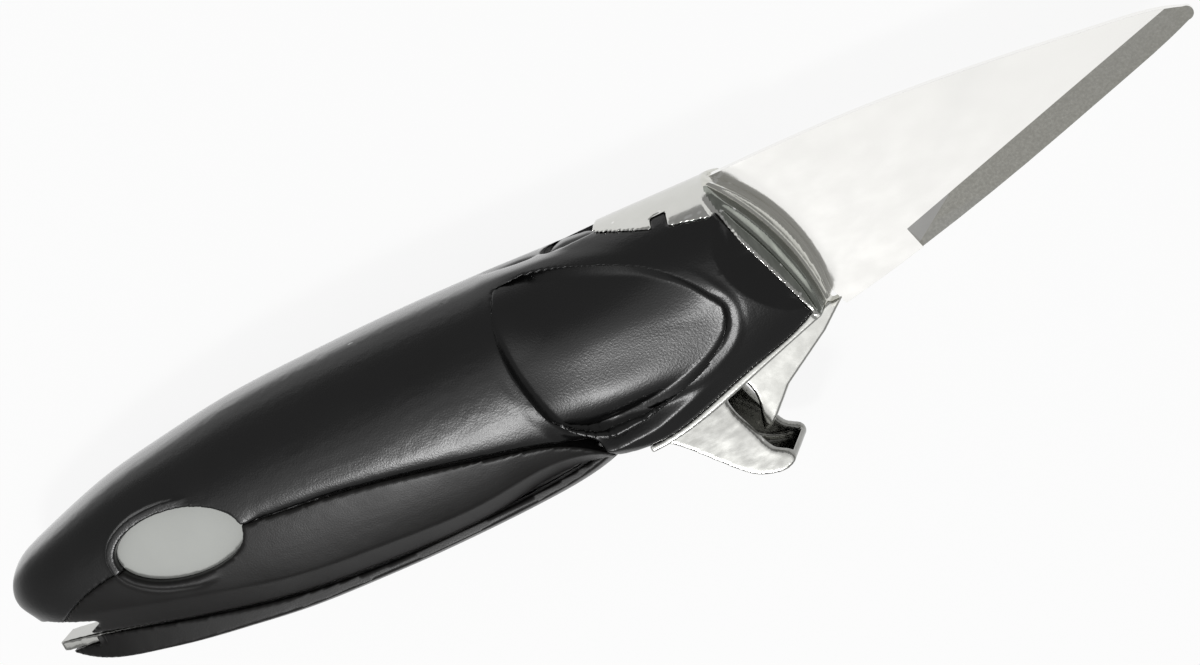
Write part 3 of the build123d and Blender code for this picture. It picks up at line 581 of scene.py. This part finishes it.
print("points", count, "in the dish", int(within.sum()))

# %% [markdown]
# ## The form without its dish
# To carve a new dish, the old one is filled first. A smooth sum of powers is fitted to the skin
# round the dish and to its flat floor raised by its depth, leaving out points that lie far off.

# %% the form without its dish
OLD_DEPTH = 1.55
FORM_POWERS = [(i, j) for i in range(5) for j in range(8)]


def powers(along, angle):
    """Products of powers of the two places on the skin, both brought near one."""
    across = (along - 105) / 20
    round_it = (angle - 0.3) / 1.2
    return np.stack([across ** i * round_it ** j for i, j in FORM_POWERS], axis=1)


front = (along > 84) & (along < 122) & (rise > -15.5) & (facing > 0.5)
floor_part = front & within & (to_outline > 2.5) & (radius > 9.0)
known = (front & ~within & (to_outline > 1.5)) | floor_part
wanted = radius + np.where(floor_part, OLD_DEPTH / np.maximum(facing, 0.5), 0)
kept = known.copy()
for tolerance in (0.6, 0.6, 0.4, 0.25, 0.25, 0.25):
    form, *_ = np.linalg.lstsq(powers(along[kept], angle[kept]), wanted[kept], rcond=None)
    kept = known & (np.abs(wanted - powers(along, angle) @ form) < tolerance)
full_radius = powers(along, angle) @ form
print("form fitted on", int(kept.sum()), "points")

# %% scoop the dish and sink the seam
RIM_WALL = 1.9
CRESCENT_WALL = 0.8
LIP_HEIGHT = 0.20
SEAM_DEPTH = 0.65
SHELL_SIDE = -0.2

to_open_end = distance_to(place, np.array(open_end))
low_part = step(-rise, -4.0, 6.0)
rim_wall = step(to_rim, 0, RIM_WALL - 0.7 * low_part)
crescent_wall = step(to_crescent, 0, CRESCENT_WALL)
opening = step(to_open_end, 0, 9.0)
scoop = 1.3 + 0.7 * (1 - np.exp(-to_outline / 4))
depth = np.where(within, scoop * rim_wall * crescent_wall * opening, 0.0)
lip = LIP_HEIGHT * np.exp(-((to_rim - 1.2) / 0.8) ** 2) * low_part * opening
depth -= np.where(within, 0.0, lip)
to_low_end = np.hypot(along - 98.6, rise + 17.0)
depth *= step(to_low_end, 0.3, 1.6)
new_radius = full_radius - depth
share = np.where(within, 1.0, 1 - step(to_outline, 0.9, 2.4))
share *= (along > 88) & (along < 126) & (rise > -18.2) & (np.abs(radius - full_radius) < 3.2)
shell_side = share * (facing > SHELL_SIDE)
inner_side = share * (facing <= SHELL_SIDE)
moved = (new_radius - radius) * shell_side
moved -= np.maximum(depth - 1.4, 0) * inner_side
to_seam = distance_to(place, rounded(seam))
fade = step(along, 42, 47) * (1 - step(along, 90, 94))
moved -= SEAM_DEPTH * np.exp(-to_seam / 0.8) * fade * (facing > 0.2) * (rise < 0) * (reach > 6)
spots[:, 1] += moved * np.sin(angle)
spots[:, 2] += moved * np.cos(angle) * side
print("dish is up to", round(float(depth.max()), 2), "mm deep")

# %% [markdown]
# ## Facet behind the front rim
# The handle's sides turn in to meet the ferrule. The skin there is held under a plane that falls
# towards the front, so the facet shows as it does on the real handle.

# %% facet behind the front rim
FRONT_TOP = np.array([124.9, 10.8])
FRONT_RUN = np.array([8.5, -27.4]) / math.hypot(8.5, 27.4)
FRONT_OUT = np.array([-FRONT_RUN[1], FRONT_RUN[0]])
RIM_REACH = 8.5
FACET_SLOPE = 0.62
FACET_LENGTH = 8.0


def front_place(along, rise):
    """Distance ahead of the front plane, and distance down along it."""
    flat = np.stack([along, rise], axis=1) - FRONT_TOP
    return flat @ FRONT_OUT, flat @ FRONT_RUN


ahead, down = front_place(along, rise)
new_reach = np.abs(spots[:, 2] - MIDDLE)
window = step(down, 0, 7) * (1 - step(down, 22, 28))
allowed = RIM_REACH + FACET_SLOPE * np.maximum(-ahead, 0) + 3.0 * (1 - window)
over = np.maximum(new_reach - allowed, 0) * (ahead > -FACET_LENGTH) * (facing > SHELL_SIDE)
spots[:, 2] -= over * side
print("facet lowers the skin by up to", round(float(over.max()), 2), "mm")

# %% the finished upper shell
upper.data.vertices.foreach_set("co", (spots * MM).ravel())
upper.data.update()
upper_dish = upper.vertex_groups.new(name="dish")
near_dish = np.flatnonzero((share > 0) & (facing > SHELL_SIDE) & (to_crescent > 0.5))
upper_dish.add(near_dish.tolist(), 1.0, "REPLACE")
to_start = np.hypot(along - 90.5, rise - 10.0)
at_ends = (to_low_end < 6.5) | (to_start < 4.5)
ends = np.flatnonzero(at_ends & (facing > SHELL_SIDE) & (reach > 3))
upper_ends = upper.vertex_groups.new(name="ends")
upper_ends.add(ends.tolist(), 1.0, "REPLACE")
settle_ends = upper.modifiers.new("settle_ends", "SMOOTH")
settle_ends.factor = 0.5
settle_ends.iterations = 14
settle_ends.vertex_group = "ends"
settle = upper.modifiers.new("settle", "SMOOTH")
settle.factor = 0.5
settle.iterations = 4
settle.vertex_group = "dish"
fewer = upper.modifiers.new("fewer", "DECIMATE")
fewer.ratio = 0.34
bpy.context.view_layer.objects.active = upper
bpy.ops.object.modifier_apply(modifier=settle_ends.name)
bpy.ops.object.modifier_apply(modifier=settle.name)
bpy.ops.object.modifier_apply(modifier=fewer.name)
bpy.ops.object.shade_smooth()
print("upper shell", len(upper.data.polygons), "faces")
finish_piece(upper, black_satin, "handle", "upper_shell")

# %% belly shell and lever cover
belly = copy_of("belly_shell", "belly_shell_skin")
soften(belly, 0.00036, 2)
finish_piece(belly, belly_black, "handle", "belly_shell")
cover = copy_of("lever_cover", "lever_cover_skin")
soften(cover, 0.00030, 2)
finish_piece(cover, belly_black, "lever", "lever_cover")

# %% [markdown]
# ## Ferrule and lever
# The ferrule's nose steps down to the blade. Its wide steps are drawn in to the rim of the deeper
# facet, and the faces ahead of the front plane get a ground finish: one for the nose, one for
# the steps behind it. On the lever only the cut end of the stirrup differs from the rest.

# %% ferrule
RIM_WAS = 10.8
NOSE_REACH = 4.0
NOSE_FROM = 0.5
TOOTH_RISE = -15.0

ferrule = copy_of("ferrule", "ferrule_metal")
soften(ferrule, 0.00020, 4)
finish_piece(ferrule, tumbled, "handle", "ferrule")
ferrule.data.materials.append(ground_steps)
ferrule.data.materials.append(step_band)
count = len(ferrule.data.vertices)
metal = np.empty(count * 3)
ferrule.data.vertices.foreach_get("co", metal)
metal = metal.reshape(-1, 3) / MM
ahead, down = front_place(metal[:, 0] - TAIL, metal[:, 1] - AXIS)
side = np.where(metal[:, 2] >= MIDDLE, 1.0, -1.0)
reach = np.abs(metal[:, 2] - MIDDLE)
window = step(down, 0, 7) * (1 - step(down, 21, 27)) * step(ahead, -0.6, -0.1)
squeeze = (RIM_REACH + 0.3 - NOSE_REACH) / (RIM_WAS - NOSE_REACH)
pulled = np.where(reach > NOSE_REACH, NOSE_REACH + (reach - NOSE_REACH) * squeeze, reach)
metal[:, 2] += (np.minimum(pulled, reach) - reach) * window * side
ferrule.data.vertices.foreach_set("co", (metal * MM).ravel())
ferrule.data.update()
bands = [0, 0, 0]
for face in ferrule.data.polygons:
    flat = np.array([face.center.x / MM - TAIL, face.center.y / MM - AXIS]) - FRONT_TOP
    out_by = flat @ FRONT_OUT
    half = abs(face.center.z / MM - MIDDLE)
    if out_by > NOSE_FROM and face.center.y / MM - AXIS > TOOTH_RISE:
        face.material_index = 1 if half < NOSE_REACH + 0.3 else 2
    bands[face.material_index] += 1
print("ferrule faces: plain, nose, steps", bands)

# %% lever
CUT_FACING = 0.45
STIRRUP_FROM = 110.0
STIRRUP_RISE = -18.5

lever = copy_of("lever_core", "lever_metal")
soften(lever, 0.00024, 4)
finish_piece(lever, brushed_steel, "lever", "lever_core")
lever.data.materials.append(cut_edge)
for face in lever.data.polygons:
    along_it = face.center.x / MM - TAIL
    rise_of_it = face.center.y / MM - AXIS
    if face.normal.x > CUT_FACING and along_it > STIRRUP_FROM and rise_of_it < STIRRUP_RISE:
        face.material_index = 1
print("lever cut edge", sum(face.material_index for face in lever.data.polygons), "faces")

# %% [markdown]
# ## Blade
# The blade keeps its flat faces, so it isn't remeshed. A narrow bevel breaks its edges, and the
# faces of the ground bevels are picked by their slant and get the ground finish. A slanted cut
# near the heel splits them, so that the bevel can end on a slant there.

# %% blade
EDGE_BREAK = 0.00008
BEVEL_SLANT = (0.90, 0.995)

blade = copy_of("blade", "blade_metal")
broken = blade.modifiers.new("broken_edges", "BEVEL")
broken.width = EDGE_BREAK
broken.segments = 2
broken.limit_method = "ANGLE"
broken.angle_limit = math.radians(30)
bpy.ops.object.modifier_apply(modifier=broken.name)
finish_piece(blade, polished, "handle", "blade")
blade.data.materials.append(ground)
heel_start = Vector((148.3 + TAIL, -12.3 + AXIS, 0)) * MM
heel_end = Vector((152.8 + TAIL, -9.4 + AXIS, 0)) * MM
heel_run = (heel_end - heel_start).normalized()
heel_out = Vector((-heel_run.y, heel_run.x, 0))
bpy.ops.object.mode_set(mode="EDIT")
bpy.ops.mesh.select_all(action="SELECT")
bpy.ops.mesh.bisect(plane_co=heel_start, plane_no=heel_out)
bpy.ops.object.mode_set(mode="OBJECT")
for face in blade.data.polygons:
    slant = abs(face.normal.z)
    behind_heel = (face.center - heel_start).dot(heel_out) > 0 and face.center.x < heel_end.x
    if BEVEL_SLANT[0] < slant < BEVEL_SLANT[1] and not behind_heel:
        face.material_index = 1
bpy.ops.object.shade_smooth_by_angle(angle=math.radians(12))
print("blade", len(blade.data.polygons), "faces")
